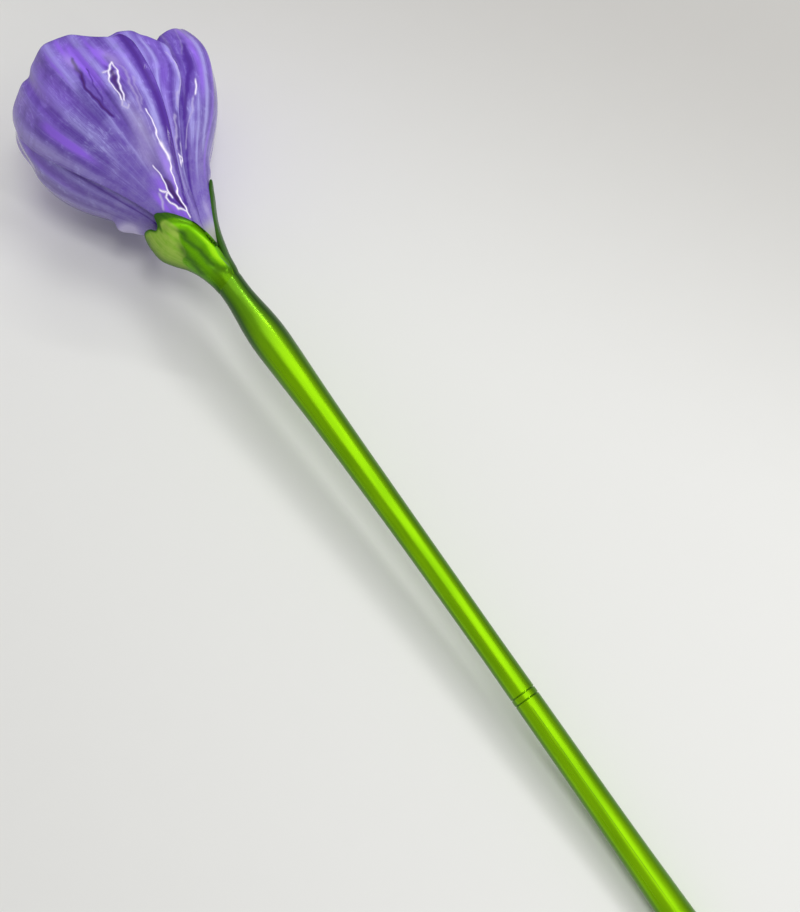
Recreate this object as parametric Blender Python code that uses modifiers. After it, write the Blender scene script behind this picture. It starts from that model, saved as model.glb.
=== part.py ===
"""A long-stemmed glass crocus flower, lying on a surface.

Six ribbed glass petals nest on a purple base, a green calyx of a neck and three sepals holds the
base, and a green glass rod of two lengths, fused at a short joint, makes the stem.

The flower is modelled in its own frame and then laid down. In that frame +Y runs along the stem
towards the mouth, the origin is where the base meets the calyx, and +Z is the side that faces up.
A point of a petal or sepal is given by its station along +Y, its distance from the axis, and its
azimuth, measured from +Z towards +X.
"""

import math
from bisect import bisect_right

import bmesh
import bpy
from mathutils import Matrix, Vector

MM = 0.001
NAME = "glass_crocus_flower"

GAP = 0.3 * MM  # between pieces that are fused or touch on the real flower

# The cup that the petals nest on: radius at stations along the axis, millimetres.
CUP = (
    (0, 6.8), (5, 9.0), (10, 12.0), (18, 19.0), (28, 26.6),
    (38, 31.0), (47, 31.8), (56, 29.7), (64, 25.7), (72, 19.7),
)
CUP_LOWEST_CUT = 1.6 * MM  # how much the underside is flattened where the flower lies on it
PETAL_THICKNESS = 1.6 * MM
PETAL_LAYER = 2.1 * MM  # from one nested layer of petals to the next, along the cup's normal
PETAL_START = 3 * MM  # station of the petals' root edge
HEAD_YAW = math.radians(-4)  # the head leans a little to the right of the stem

# Swellings of the cup: azimuth, half width (degrees), height at the belly and at the rim (mm).
SWELLINGS = ((78, 34, 1.8, 2.6), (-98, 30, 1.4, 0.0))
BELLY_STATION = 44 * MM
BELLY_WIDTH = 15 * MM

# Petals. Centre azimuths and half widths are at the root, half way and at the tip, in degrees;
# layer 1 is the outermost; drops are how far each rim corner falls short of the tip, in mm.
PETALS = {
    "petal_top": dict(
        centre=(-17, -17, -29),
        half=(17, 34, 54),
        length=64,
        drops=(7.5, 8),
        layer=1,
        wave=(0.8, 2.6, -0.35),
    ),
    "petal_top_right": dict(
        centre=(4, 4, 6),
        half=(20, 26, 34),
        length=60,
        drops=(2, 8),
        layer=0,
        wave=(0.6, 2.0, -0.2),
    ),
    "petal_right": dict(
        centre=(58, 64, 70),
        half=(56, 56, 50),
        length=58.5,
        drops=(10, 8),
        layer=-1,
        wave=(0.8, 1.6, 0.1),
    ),
    "petal_bottom": dict(
        centre=(160, 160, 160),
        half=(46, 46, 48),
        length=58,
        drops=(8, 8),
        layer=0,
        wave=(1.2, 2.0, 0.5),
    ),
    "petal_bottom_left": dict(
        centre=(-140, -140, -140),
        half=(42, 44, 48),
        length=60,
        drops=(8, 8),
        layer=-1,
        wave=(1.2, 2.0, 0.1),
    ),
    "petal_left": dict(
        centre=(-80, -80, -84),
        half=(46, 44, 48),
        length=62,
        drops=(8, 8),
        layer=0,
        wave=(1.2, 2.0, 0.4),
    ),
}
PETAL_CELLS = (12, 14)  # across and along

# Sepals. rim gives the rim's station (mm) across the sepal, from its left edge (-1) to its right (1).
SEPAL_THICKNESS = 1.5 * MM
RIM_SOFTNESS = 0.45 * MM
SEPAL_START = -16 * MM
SEPAL_CELLS = (10, 9)
SEPALS = {
    "sepal_broad": dict(
        centre=(-30, -38, -42),
        half=(60, 62, 50),
        rim=(
            (-1, 4), (-0.6, 7.5), (-0.3, 7), (-0.14, 5), (0.04, 7.6),
            (0.22, 8.4), (0.45, 7.4), (0.62, 4), (0.8, 0.5), (1, -5),
        ),
        radius=(
            (-16, 5.3), (-12, 6.5), (-8, 8.4), (-4.5, 11.0),
            (-1, 13.2), (3, 14.1), (7, 14.5), (11, 15.6),
        ),
    ),
    "sepal_narrow": dict(
        centre=(76, 78, 76),
        half=(30, 22, 10),
        rim=((-1, 9), (-0.5, 11), (0, 13), (0.5, 12), (1, 10)),
        radius=(
            (-16, 4.9), (-12, 5.3), (-8, 6.2), (-4.5, 7.1), (-1, 8.3),
            (3, 10.2), (7, 12.5), (11, 14.9), (15, 17.8),
        ),
    ),
    "sepal_under": dict(
        centre=(168, 168, 168),
        half=(54, 40, 24),
        rim=((-1, 2), (-0.4, 6), (0, 8), (0.4, 6), (1, 2)),
        radius=(
            (-16, 5.1), (-12, 5.9), (-8, 7.3), (-4.5, 9.0),
            (-1, 10.8), (3, 12.2), (7, 13.6), (11, 15.2),
        ),
    ),
}

# Turned pieces: radius and station, millimetres, from the mouth end to the stem end.
BASE_PROFILE = (
    (0, 15), (3.6, 14.4), (6.6, 12), (5.6, 8), (4.2, 3.4), (4.3, 2.7),
    (7.1, 2.4), (6.9, 1.2), (5.8, -1), (4.4, -4.4), (0, -4.4),
)
NECK_PROFILE = (
    (0, -5.0), (4.4, -5.0), (4.3, -8), (3.4, -12),
    (3.1, -16.4), (4.4, -17.2), (4.35, -22.2), (0, -22.2),
)
TURN_STEPS = 32

# The stem rod: station and radius, millimetres, from the neck to the far end.
STEM_PROFILE = (
    (-22.5, 4.4), (-25, 4.5), (-28, 4.8), (-31, 5.15), (-34, 5.5), (-38, 5.8), (-42, 5.88),
    (-47, 5.75), (-51, 5.6), (-60, 5.25), (-69, 4.95), (-81, 4.67), (-96, 4.45), (-112, 4.25),
    (-127, 4.12), (-143, 4.03), (-158, 3.98), (-171, 4.04), (-184, 4.08), (-197, 4.14),
    (-210, 4.2), (-220, 4.3), (-230, 4.45), (-239, 4.65), (-247, 4.82), (-256, 5.0),
    (-262, 4.95), (-265, 4.5), (-266.5, 3.4),
)
STEM_BOW = 0.8 * MM  # greatest sideways bend, half way along
STEM_BOW_LENGTH = 247 * MM
JOINT_STATION = -172 * MM
JOINT_LENGTH = 2.1 * MM
ROD_RING = 6  # bevel resolution of the rods: sixteen sides

PURPLE = (0.175, 0.123, 0.433, 1)
PALE_PURPLE = (0.36, 0.27, 0.62, 1)
LEAF_GREEN = (0.224, 0.385, 0.046, 1)
STEM_GREEN = (0.12, 0.42, 0.003, 1)
DARK_GREEN = (0.071, 0.23, 0.004, 1)
GLASS_ROUGHNESS = 0.08


def clear_scene():
    for obj in list(bpy.data.objects):
        bpy.data.objects.remove(obj, do_unlink=True)


def smooth_step(x):
    x = min(max(x, 0.0), 1.0)
    return x * x * (3 - 2 * x)


def read_curve(points, x):
    """Value at x of a smooth curve through (x, value) points, in the points' own units."""
    xs = [p[0] for p in points]
    ys = [p[1] for p in points]
    last = len(xs) - 1
    i = min(max(bisect_right(xs, x) - 1, 0), last - 1)
    span = xs[i + 1] - xs[i]
    t = min(max((x - xs[i]) / span, 0.0), 1.0)
    before, after = max(i - 1, 0), min(i + 2, last)
    slope_a = (ys[i + 1] - ys[before]) / (xs[i + 1] - xs[before]) * span
    slope_b = (ys[after] - ys[i]) / (xs[after] - xs[i]) * span
    rise = ys[i + 1] - ys[i]
    square = 3 * rise - 2 * slope_a - slope_b
    cube = slope_a + slope_b - 2 * rise
    return ys[i] + t * (slope_a + t * (square + t * cube))


def cup_radius(station):
    return read_curve(CUP, station / MM) * MM


def swelling(station, azimuth):
    """How far the cup swells outwards at an azimuth in degrees."""
    total = 0.0
    for centre, width, belly, rim in SWELLINGS:
        turn = (azimuth - centre + 180) % 360 - 180
        share = math.exp(-((turn / width) ** 2))
        bulge = belly * math.exp(-(((station - BELLY_STATION) / BELLY_WIDTH) ** 2))
        total += share * (bulge + rim * smooth_step((station - 36 * MM) / (24 * MM)))
    return total * MM


def polar_point(station, radius, azimuth):
    angle = math.radians(azimuth)
    return Vector((radius * math.sin(angle), station, radius * math.cos(angle)))


def petal_point(petal, u, v):
    """Outer surface of a petal: u runs from root to rim, v from the left edge (-1) to the right (1)."""
    half = read_curve(tuple(zip((0, 0.5, 1), petal["half"])), u)
    centre = read_curve(tuple(zip((0, 0.5, 1), petal["centre"])), u)
    azimuth = centre + half * v
    height, waves, phase = petal["wave"]
    drop = petal["drops"][0 if v < 0 else 1] * abs(v) ** 2.4
    rim = (petal["length"] - drop + height * math.cos(math.pi * waves * (v - phase))) * MM
    station = PETAL_START + u * (rim - PETAL_START)
    radius = cup_radius(station)
    step = 0.2 * MM
    slope = (cup_radius(station + step) - cup_radius(station - step)) / (2 * step)
    tilt = math.sqrt(1 + slope * slope)
    lift = petal["layer"] * PETAL_LAYER
    outer = radius + (lift + swelling(station, azimuth)) / tilt
    below = math.cos(math.radians(azimuth - 180))
    lowest = radius + lift / tilt - CUP_LOWEST_CUT * smooth_step(station / (25 * MM))
    if below > 0.2:
        outer = min(outer, lowest / below)
    return polar_point(station - lift * slope / tilt, outer, azimuth)


def sepal_point(sepal, u, v):
    """Outer surface of a sepal: u runs from root to rim, v from the left edge (-1) to the right (1)."""
    half = read_curve(tuple(zip((0, 0.5, 1), sepal["half"])), u)
    centre = read_curve(tuple(zip((0, 0.5, 1), sepal["centre"])), u)
    rim = read_curve(sepal["rim"], v) * MM
    station = SEPAL_START + u * (rim - SEPAL_START)
    radius = read_curve(sepal["radius"], station / MM) * MM
    return polar_point(station, radius, centre + half * v)


def glass(name, colour):
    material = bpy.data.materials.new(name)
    material.use_nodes = True
    shader = material.node_tree.nodes["Principled BSDF"]
    shader.inputs["Base Color"].default_value = colour
    shader.inputs["Roughness"].default_value = GLASS_ROUGHNESS
    shader.inputs["Metallic"].default_value = 0.0
    material.diffuse_color = colour
    return material


def add_object(name, data, collection, parent, material):
    obj = bpy.data.objects.new(name, data)
    data.materials.append(material)
    collection.objects.link(obj)
    obj.parent = parent
    return obj


def round_shell(obj, thickness):
    """Thickens an open surface inwards and softens its rim."""
    solid = obj.modifiers.new("Thickness", "SOLIDIFY")
    solid.thickness = thickness
    solid.offset = -1
    solid.use_even_offset = True
    soft = obj.modifiers.new("Soft rim", "BEVEL")
    soft.width = RIM_SOFTNESS
    soft.segments = 1
    soft.limit_method = "ANGLE"
    soft.angle_limit = math.radians(55)


def leaf_shell(name, cells, thickness, point, collection, parent, material):
    """A closed curved shell whose outer surface is point(u, v)."""
    mesh = bpy.data.meshes.new(name)
    bm = bmesh.new()
    bmesh.ops.create_grid(bm, x_segments=cells[0], y_segments=cells[1], size=1)
    for vertex in bm.verts:
        vertex.co = point((vertex.co.y + 1) / 2, vertex.co.x)
    bmesh.ops.recalc_face_normals(bm, faces=bm.faces)
    middle = min(bm.faces, key=lambda f: (f.calc_center_median() - point(0.5, 0)).length)
    outward = middle.calc_center_median()
    outward.y = 0
    if middle.normal.dot(outward) < 0:
        bmesh.ops.reverse_faces(bm, faces=bm.faces)
    bm.to_mesh(mesh)
    bm.free()
    mesh.shade_smooth()
    obj = add_object(name, mesh, collection, parent, material)
    round_shell(obj, thickness)
    return obj


def turned_piece(name, profile, collection, parent, material):
    """A solid of revolution about +Y, from a closed profile of (radius, station) points."""
    mesh = bpy.data.meshes.new(name)
    bm = bmesh.new()
    rim = [bm.verts.new((radius * MM, station * MM, 0)) for radius, station in profile]
    for first, second in zip(rim, rim[1:]):
        bm.edges.new((first, second))
    bm.to_mesh(mesh)
    bm.free()
    obj = add_object(name, mesh, collection, parent, material)
    screw = obj.modifiers.new("Turn", "SCREW")
    screw.axis = "Y"
    screw.angle = math.tau
    screw.steps = TURN_STEPS
    screw.render_steps = TURN_STEPS
    screw.use_merge_vertices = True
    screw.merge_threshold = 0.00001
    screw.use_smooth_shade = True
    screw.use_normal_calculate = True
    return obj


def stem_radius(station):
    points = tuple(reversed(STEM_PROFILE))
    return read_curve(points, station / MM) * MM


def stem_side(station):
    """Sideways bend of the stem's centre line."""
    share = min(max(-station / STEM_BOW_LENGTH, 0.0), 1.0)
    return STEM_BOW * math.sin(math.pi * share)


def rod_piece(name, start, end, collection, parent, material):
    """The part of the stem between two stations, with filled ends."""
    inner = [p[0] * MM for p in STEM_PROFILE if end + GAP < p[0] * MM < start - GAP]
    stations = [start, *inner, end]
    curve = bpy.data.curves.new(name, "CURVE")
    curve.dimensions = "3D"
    curve.bevel_depth = MM
    curve.bevel_resolution = ROD_RING
    curve.use_fill_caps = True
    spline = curve.splines.new("POLY")
    spline.points.add(len(stations) - 1)
    for point, station in zip(spline.points, stations):
        point.co = (stem_side(station), station, 0, 1)
        point.radius = stem_radius(station) / MM
    return add_object(name, curve, collection, parent, material)


def add_stem(collection, parent):
    top = STEM_PROFILE[0][0] * MM
    end = STEM_PROFILE[-1][0] * MM
    joint_end = JOINT_STATION - JOINT_LENGTH
    rod_piece("stem_upper", top, JOINT_STATION, collection, parent, glass("stem_glass", STEM_GREEN))
    joint = glass("joint_glass", STEM_GREEN)
    rod_piece("stem_joint", JOINT_STATION - GAP, joint_end, collection, parent, joint)
    rod_piece("stem_lower", joint_end - GAP, end, collection, parent, glass("rod_glass", STEM_GREEN))


def add_calyx(collection, parent):
    turned_piece("calyx_neck", NECK_PROFILE, collection, parent, glass("neck_glass", DARK_GREEN))
    for name, sepal in SEPALS.items():
        leaf_shell(
            name,
            SEPAL_CELLS,
            SEPAL_THICKNESS,
            lambda u, v, sepal=sepal: sepal_point(sepal, u, v),
            collection,
            parent,
            glass(f"{name}_glass", LEAF_GREEN),
        )


def add_head(collection, parent):
    turned_piece("flower_base", BASE_PROFILE, collection, parent, glass("base_glass", PALE_PURPLE))
    for name, petal in PETALS.items():
        leaf_shell(
            name,
            PETAL_CELLS,
            PETAL_THICKNESS,
            lambda u, v, petal=petal: petal_point(petal, u, v),
            collection,
            parent,
            glass(f"{name}_glass", PURPLE),
        )


def world_points(collection):
    """Every vertex of the finished pieces, where they now stand."""
    bpy.context.view_layer.update()
    graph = bpy.context.evaluated_depsgraph_get()
    points = []
    for obj in collection.objects:
        if obj.type == "EMPTY":
            continue
        made = obj.evaluated_get(graph)
        mesh = made.to_mesh()
        points += [made.matrix_world @ vertex.co for vertex in mesh.vertices]
        made.to_mesh_clear()
    return points


def lay_down(root, points):
    """Tilts the flower so that the head and the stem's end touch z = 0, centred over the origin.

    points are the vertices with root at the world's origin.
    """
    head = [p for p in points if p.y > PETAL_START]
    tip = [p for p in points if p.y < STEM_PROFILE[-4][0] * MM]
    slope = 0.0
    for _ in range(8):
        turn = Matrix.Rotation(slope, 4, "X")
        low_head = min((turn @ p for p in head), key=lambda p: p.z)
        low_tip = min((turn @ p for p in tip), key=lambda p: p.z)
        slope += math.atan2(low_tip.z - low_head.z, low_head.y - low_tip.y)
    turn = Matrix.Rotation(slope, 4, "X")
    laid = [turn @ p for p in points]
    lows = Vector([min(p[i] for p in laid) for i in range(3)])
    highs = Vector([max(p[i] for p in laid) for i in range(3)])
    middle = (lows + highs) / 2
    root.rotation_euler = (slope, 0, 0)
    root.location = (-middle.x, -middle.y, -lows.z)


def main():
    clear_scene()
    collection = bpy.data.collections.new(NAME)
    bpy.context.scene.collection.children.link(collection)
    root = bpy.data.objects.new("flower", None)
    collection.objects.link(root)
    head = bpy.data.objects.new("head", None)
    head.parent = root
    head.rotation_euler = (0, 0, HEAD_YAW)
    collection.objects.link(head)
    add_stem(collection, root)
    add_calyx(collection, root)
    add_head(collection, head)
    lay_down(root, world_points(collection))


if __name__ == "__main__":
    main()
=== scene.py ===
"""A long-stemmed glass crocus lying on a table: ribbed purple petals, a green calyx and a green glass stem.

Lengths in the tables are millimetres and angles are degrees, unless a name says otherwise. A point of a
petal or sepal is given by its station along the flower's axis from the calyx towards the mouth, its
distance from that axis, and its azimuth, measured from the side that faces up towards +X. On a leaf, along
runs from its root (0) to its rim (1), and across from its left edge (-1) to its right edge (1).
"""

import math

import bpy
import numpy as np
from bpy.props import FloatProperty, FloatVectorProperty, PointerProperty
from bpy.types import Operator, Panel, PropertyGroup
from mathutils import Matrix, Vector


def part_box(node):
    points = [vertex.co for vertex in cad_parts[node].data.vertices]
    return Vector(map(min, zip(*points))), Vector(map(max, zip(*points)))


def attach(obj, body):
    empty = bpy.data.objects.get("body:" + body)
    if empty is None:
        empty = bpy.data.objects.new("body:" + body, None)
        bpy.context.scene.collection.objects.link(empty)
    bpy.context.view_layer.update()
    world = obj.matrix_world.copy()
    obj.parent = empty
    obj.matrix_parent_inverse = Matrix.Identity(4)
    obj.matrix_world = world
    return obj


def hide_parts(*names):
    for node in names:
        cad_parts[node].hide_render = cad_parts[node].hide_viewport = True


bl_info = {
    "name": "Glass crocus",
    "version": (1, 0, 0),
    "blender": (4, 5, 0),
    "location": "3D View > Sidebar > Glass crocus",
    "description": "Petals, calyx, stem and stage of a long-stemmed glass crocus",
    "category": "Object",
}

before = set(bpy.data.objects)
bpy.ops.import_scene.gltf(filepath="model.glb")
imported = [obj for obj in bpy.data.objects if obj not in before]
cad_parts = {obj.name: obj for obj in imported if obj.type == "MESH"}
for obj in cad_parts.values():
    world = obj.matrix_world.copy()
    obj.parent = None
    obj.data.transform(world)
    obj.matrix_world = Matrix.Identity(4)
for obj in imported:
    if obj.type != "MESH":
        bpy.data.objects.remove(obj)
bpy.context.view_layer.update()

MM = 0.001
BODY = "root"

# How the flower lies is read from the middles of two CAD pieces, the neck at this station and the joint.
NECK_STATION = -13.6
HEAD_YAW = math.radians(4)  # the head leans a little towards +X

# The cup that the petals nest on: radius at stations along the axis.
CUP = (
    (-8, 4.8), (-3, 6.7), (1, 8.2), (5, 10.0), (10, 12.7), (18, 19.0), (28, 26.6),
    (38, 31.0), (47, 31.8), (56, 29.7), (64, 25.7), (72, 19.7),
)
CUP_LOWEST_CUT = 1.9  # how much the underside is flattened where the flower lies on it
PETAL_LAYER = 2.1  # from one nested layer of petals to the next
PETAL_START = -7.0
PETAL_LENGTH = 62.0  # a petal's usual length, by which distances along it are measured
SWELLINGS = ((78, 34, 1.8, 3.2), (-98, 34, 1.0, 1.3))  # azimuth, half width, height at belly and at rim
BELLY_STATION = 44.0
BELLY_WIDTH = 15.0
FLARE_START = 36.0  # the rim's swelling grows from here
FLARE_LENGTH = 24.0

# Petals. centre and half width are azimuths at the root, half way and at the rim; layer 1 is the outermost;
# rim is the rim's station across the petal, and right how far its right edge reaches at places along.
# swells raise or sink the surface: across, along, the half widths of both, height. folds are broad soft
# folds from the root to the rim: across, half width, height at the rim.
# pale, deep and glow are streaks of lavender, dark purple and bright violet glass, and some of them are
# painted
# light: deep streaks along creases and where one petal lies over the next are painted shade, and glow streaks
# are partly painted violet highlights. Each gives across, half width, strength, from, to. milk is cloudy
# white:
# across, along, the half widths, strength.
# The thin white lines are painted highlights, where lamps are mirrored, and the dark lines painted shade in
# creases, grooves, along edges and inside the highlight loops: half width in millimetres, strength, and the
# places (across, along) that the line runs through. rows is how finely the petal is divided along.
# A petal takes from PLAIN_PETAL what it doesn't name itself.
PETALS = {
    "petal_top": dict(
        centre=(-17, -17, -29),
        half=(17, 34, 54),
        layer=1,
        rim=((-1, 59), (-0.85, 60.6), (-0.7, 61.8), (-0.5, 62.6), (-0.38, 62.4), (-0.25, 63.7), (-0.02, 64.9),
             (0.15, 65.3), (0.28, 65.2), (0.4, 64), (0.5, 62.2), (0.62, 59.7), (0.74, 56.9), (0.82, 55.6),
             (0.9, 56), (0.95, 55), (1, 51.5)),
        right=((0, 1), (0.3, 1), (0.5, 0.97), (0.75, 0.95), (1, 0.91)),
        swells=((0.02, 1.0, 0.2, 0.24, 3.4), (-0.38, 0.97, 0.1, 0.2, -0.8), (0.62, 1.0, 0.12, 0.2, -0.6),
                (0.29, 0.72, 0.03, 0.2, -0.5), (0.9, 0.5, 0.1, 0.4, -0.45), (0.6, 0.52, 0.12, 0.16, 1.5)),
        folds=((-0.86, 0.12, 0.45), (-0.5, 0.1, 0.35), (-0.25, 0.1, 0.6), (0.08, 0.095, 0.7),
               (0.42, 0.085, 0.7), (0.77, 0.085, 0.6)),
        pale=((-0.86, 0.08, 0.4, 0.45, 1.1), (-0.5, 0.05, 0.25, 0.5, 0.95), (-0.24, 0.07, 0.5, 0.5, 1.1),
              (-0.3, 0.03, 0.35, 0.35, 0.8), (0.07, 0.06, 0.95, 0.55, 1.1), (0.13, 0.03, 0.5, 0.35, 0.8),
              (0.41, 0.05, 0.75, 0.55, 1.1), (0.46, 0.03, 0.4, 0.35, 0.8), (0.57, 0.03, 0.3, 0.55, 0.95),
              (0.775, 0.045, 0.9, 0.5, 1.1), (0.74, 0.1, 0.4, 0.3, 0.6)),
        deep=((0.3, 0.05, 0.5, 0.45, 0.8), (0.92, 0.06, 1.35, 0.34, 1.1),
              (-0.42, 0.07, 0.5, 0.45, 0.9), (-0.03, 0.04, 0.45, 0.5, 0.95), (0.22, 0.05, 0.5, 0.4, 0.8),
              (0.58, 0.035, 0.9, 0.66, 0.86), (0.66, 0.04, 0.5, 0.5, 1), (-0.72, 0.05, 0.3, 0.4, 0.9),
              (1.0, 0.012, 1.0, 0.1, 1.1)),
        glow=((0.3, 0.055, 1.5, 0.7, 0.92), (0.2, 0.03, 0.7, 0.8, 0.98), (0.02, 0.03, 0.5, 0.78, 0.95),
              (-0.59, 0.075, 1.4, 0.53, 0.74), (0.6, 0.12, 0.8, 0.72, 0.9), (-0.2, 0.14, 1.2, 0.1, 0.28),
              (0.3, 0.25, 1.1, 0.1, 0.32),
              (0.65, 0.12, 0.9, 0.1, 0.42), (-0.3, 0.3, 0.35, 0.7, 0.95),
              (0.52, 0.025, 0.5, 0.8, 0.95), (0.95, 0.05, 0.25, 0.4, 0.8)),
        milk=((-0.86, 0.7, 0.1, 0.2, 0.3), (0.66, 0.38, 0.2, 0.1, 0.25), (0.64, 0.84, 0.08, 0.05, 0.4),
              (0.48, 0.52, 0.14, 0.1, 0.4), (0.3, 0.4, 0.16, 0.07, 0.3), (0.2, 0.84, 0.05, 0.05, 0.35)),
        # Thin white lines of painted highlight: a loop, a streak along the right part and zigzags near the
        # root.
        glint_lines=(
            (0.24, 1.9, ((0.43, 0.62), (0.44, 0.7), (0.5, 0.76), (0.62, 0.82), (0.6, 0.77), (0.52, 0.68),
                         (0.46, 0.62))),
            (0.22, 1.1, ((0.44, 0.62), (0.4, 0.59), (0.45, 0.58), (0.49, 0.6))),
            (0.22, 1.4, ((0.5, 0.76), (0.46, 0.75), (0.43, 0.75))),
            (0.5, 0.42, ((0.62, 0.82), (0.7, 0.8), (0.65, 0.7), (0.61, 0.57))),
            (0.4, 0.35, ((0.73, 0.75), (0.66, 0.61))),
            (0.26, 2.0, ((0.69, 0.59), (0.7, 0.46), (0.79, 0.4), (0.72, 0.3), (0.7, 0.26), (0.81, 0.18),
                         (0.9, 0.15))),
            (0.75, 1.8, ((0.72, 0.46), (0.78, 0.41))),
            (0.24, 1.9, ((0.35, 0.36), (0.39, 0.32), (0.37, 0.28), (0.4, 0.235), (0.34, 0.262),
                         (0.1, 0.285))),
            (0.26, 1.9, ((0.3, 0.26), (0.16, 0.25), (0.2, 0.22), (0.36, 0.19), (0.81, 0.182))),
            (0.4, 0.8, ((0.02, 0.27), (-0.1, 0.24), (-0.3, 0.22))),
        ),
        # Dark lines of painted shade along the crease, round the highlights and along the right edge.
        shade_lines=(
            (0.65, 1.9, ((0.23, 0.85), (0.2, 0.775), (0.145, 0.715), (0.14, 0.66), (0.15, 0.61),
                         (0.19, 0.57))),
            (1.0, 1.6, ((0.14, 0.66), (0.16, 0.61))),
            (2.6, 0.75, ((0.12, 0.72), (0.05, 0.66), (0.08, 0.6))),
            (2.2, 0.6, ((0.28, 0.7), (0.3, 0.62), (0.24, 0.56))),
            (0.35, 1.3, ((0.3, 0.78), (0.24, 0.7), (0.22, 0.66), (0.17, 0.62))),
            (1.3, 1.8, ((0.54, 0.77), (0.5, 0.7), (0.465, 0.64))),
            (1.2, 2.4, ((0.48, 0.3), (0.54, 0.265), (0.6, 0.235), (0.66, 0.207))),
            (1.9, 0.9, ((0.42, 0.38), (0.47, 0.31), (0.55, 0.262))),
            (0.8, 1.3, ((0.25, 0.255), (0.33, 0.225), (0.45, 0.195))),
            (0.7, 1.1, ((0.97, 0.6), (0.95, 0.48), (0.94, 0.38), (0.95, 0.3), (0.9, 0.22))),
        ),
        rows=210,
    ),
    "petal_top_right": dict(
        centre=(4, 4, 6),
        half=(20, 26, 34),
        layer=0,
        rim=((-1, 56), (-0.5, 57.5), (0, 58), (0.2, 58), (0.4, 57.9), (0.52, 56.8), (0.65, 54.6), (0.77, 53),
             (0.88, 50.6), (0.95, 48.6), (1, 46.6)),
        right=((0, 1), (0.15, 0.85), (0.32, 0.7), (0.45, 0.75), (0.55, 0.8), (0.65, 0.84), (0.73, 0.93),
               (0.8, 1.02), (0.87, 1), (0.93, 0.95), (1, 0.95)),
        swells=((0.5, 0.95, 0.2, 0.3, 0.5), (0.97, 0.6, 0.06, 0.4, 0.6), (0.84, 0.6, 0.07, 0.3, -0.5)),
        folds=((0.3, 0.09, 0.5), (0.56, 0.08, 0.6)),
        pale=((0.2, 0.1, 0.5, 0.5, 1.1), (0.45, 0.07, 0.8, 0.45, 1.1), (0.6, 0.04, 0.9, 0.35, 0.95),
              (0.98, 0.06, 1.2, 0.3, 1.1), (0.72, 0.06, 0.5, 0.2, 0.7)),
        deep=((0.32, 0.04, 0.5, 0.6, 1), (0.86, 0.035, 0.6, 0.45, 1)),
        glow=((0.7, 0.1, 0.25, 0.4, 0.8),),
        milk=((0.6, 0.3, 0.3, 0.2, 0.2),),
        glint_lines=(
            (0.3, 0.6, ((0.93, 0.92), (0.96, 0.82), (0.97, 0.74), (0.95, 0.66))),
            (0.5, 1.3, ((0.965, 0.88), (0.97, 0.865))),
            (0.28, 1.7, ((0.82, 0.43), (0.93, 0.43), (0.87, 0.39), (0.82, 0.43))),
            (0.4, 0.6, ((0.9, 0.6), (0.85, 0.52), (0.8, 0.45))),
            (0.4, 0.8, ((0.99, 0.5), (0.96, 0.45))),
        ),
        shade_lines=((0.7, 0.8, ((0.93, 0.62), (0.92, 0.52), (0.9, 0.46))),),
    ),
    "petal_right": dict(
        centre=(58, 64, 70),
        half=(56, 56, 50),
        layer=-1,
        rim=((-1, 44), (-0.8, 48.5), (-0.66, 52), (-0.5, 54.9), (-0.32, 57), (-0.14, 58.3), (0, 58.8),
             (0.12, 59.6), (0.25, 60.6), (0.4, 60.6), (0.6, 59), (0.8, 56), (1, 51)),
        swells=((-0.42, 0.75, 0.08, 0.4, -0.9), (-0.62, 0.55, 0.08, 0.3, -0.5), (0.2, 0.2, 0.4, 0.1, 2.2),
                (0.1, 0.38, 0.4, 0.1, -1.3), (0.66, 0.42, 0.3, 0.12, -1.1), (0.6, 0.31, 0.3, 0.035, 1.0),
                (0.45, 0.65, 0.3, 0.25, -0.25), (0.08, 0.9, 0.14, 0.2, 1.1)),
        folds=((-0.14, 0.12, 0.5), (0.1, 0.09, 0.5), (0.36, 0.09, 0.4), (0.66, 0.09, 0.5)),
        pale=((-0.25, 0.035, 0.8, 0.3, 0.62), (-0.38, 0.05, 0.8, 0.42, 0.58), (-0.06, 0.045, 1.1, 0.4, 0.92),
              (0.3, 0.08, 0.4, 0.35, 1.0), (0.55, 0.08, 0.3, 0.3, 1.1), (-0.55, 0.03, 0.6, 0.3, 0.7)),
        deep=((-0.45, 0.2, 0.45, 0.75, 1.2), (-0.53, 0.05, 0.9, 0.2, 0.65), (-0.75, 0.24, 0.8, 0.6, 1.3),
              (0.04, 0.05, 0.5, 0.5, 1.0), (0.2, 0.06, 0.5, 0.1, 1.0), (-0.66, 0.08, 0.7, 0.3, 0.8),
              (0.75, 0.2, 0.5, 0.2, 1.0)),
        glow=((-0.15, 0.06, 0.7, 0.6, 0.97), (0.08, 0.05, 0.5, 0.3, 0.8)),
        milk=((0.0, 0.06, 0.5, 0.05, 0.9), (-0.15, 0.16, 0.12, 0.04, 0.4)),
        glint_lines=(
            (0.35, 0.5, ((-0.33, 0.6), (-0.37, 0.55), (-0.47, 0.5), (-0.55, 0.42))),
            (0.45, 1.9, ((-0.265, 0.67), (-0.29, 0.615))),
            (0.35, 0.2, ((-0.2, 0.97), (-0.28, 0.9), (-0.34, 0.83))),
        ),
        shade_lines=(
            (1.9, 1.3, ((-0.28, 0.87), (-0.31, 0.74))),
            (1.2, 1.3, ((-0.31, 0.74), (-0.36, 0.69), (-0.44, 0.63), (-0.53, 0.55))),
        ),
    ),
    "petal_bottom": dict(
        centre=(160, 160, 160),
        half=(46, 46, 48),
        layer=0,
        rim=((-1, 50.5), (-0.75, 54.5), (-0.5, 59), (-0.25, 57.6), (0, 56.8), (0.25, 57.5), (0.5, 58.5),
             (0.8, 54), (1, 50)),
        swells=((-0.95, 0.36, 0.4, 0.22, -2.5), (-1.0, 0.52, 0.4, 0.14, -1.7)),
    ),
    "petal_bottom_left": dict(
        centre=(-140, -140, -140),
        half=(42, 44, 48),
        layer=-1,
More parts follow.
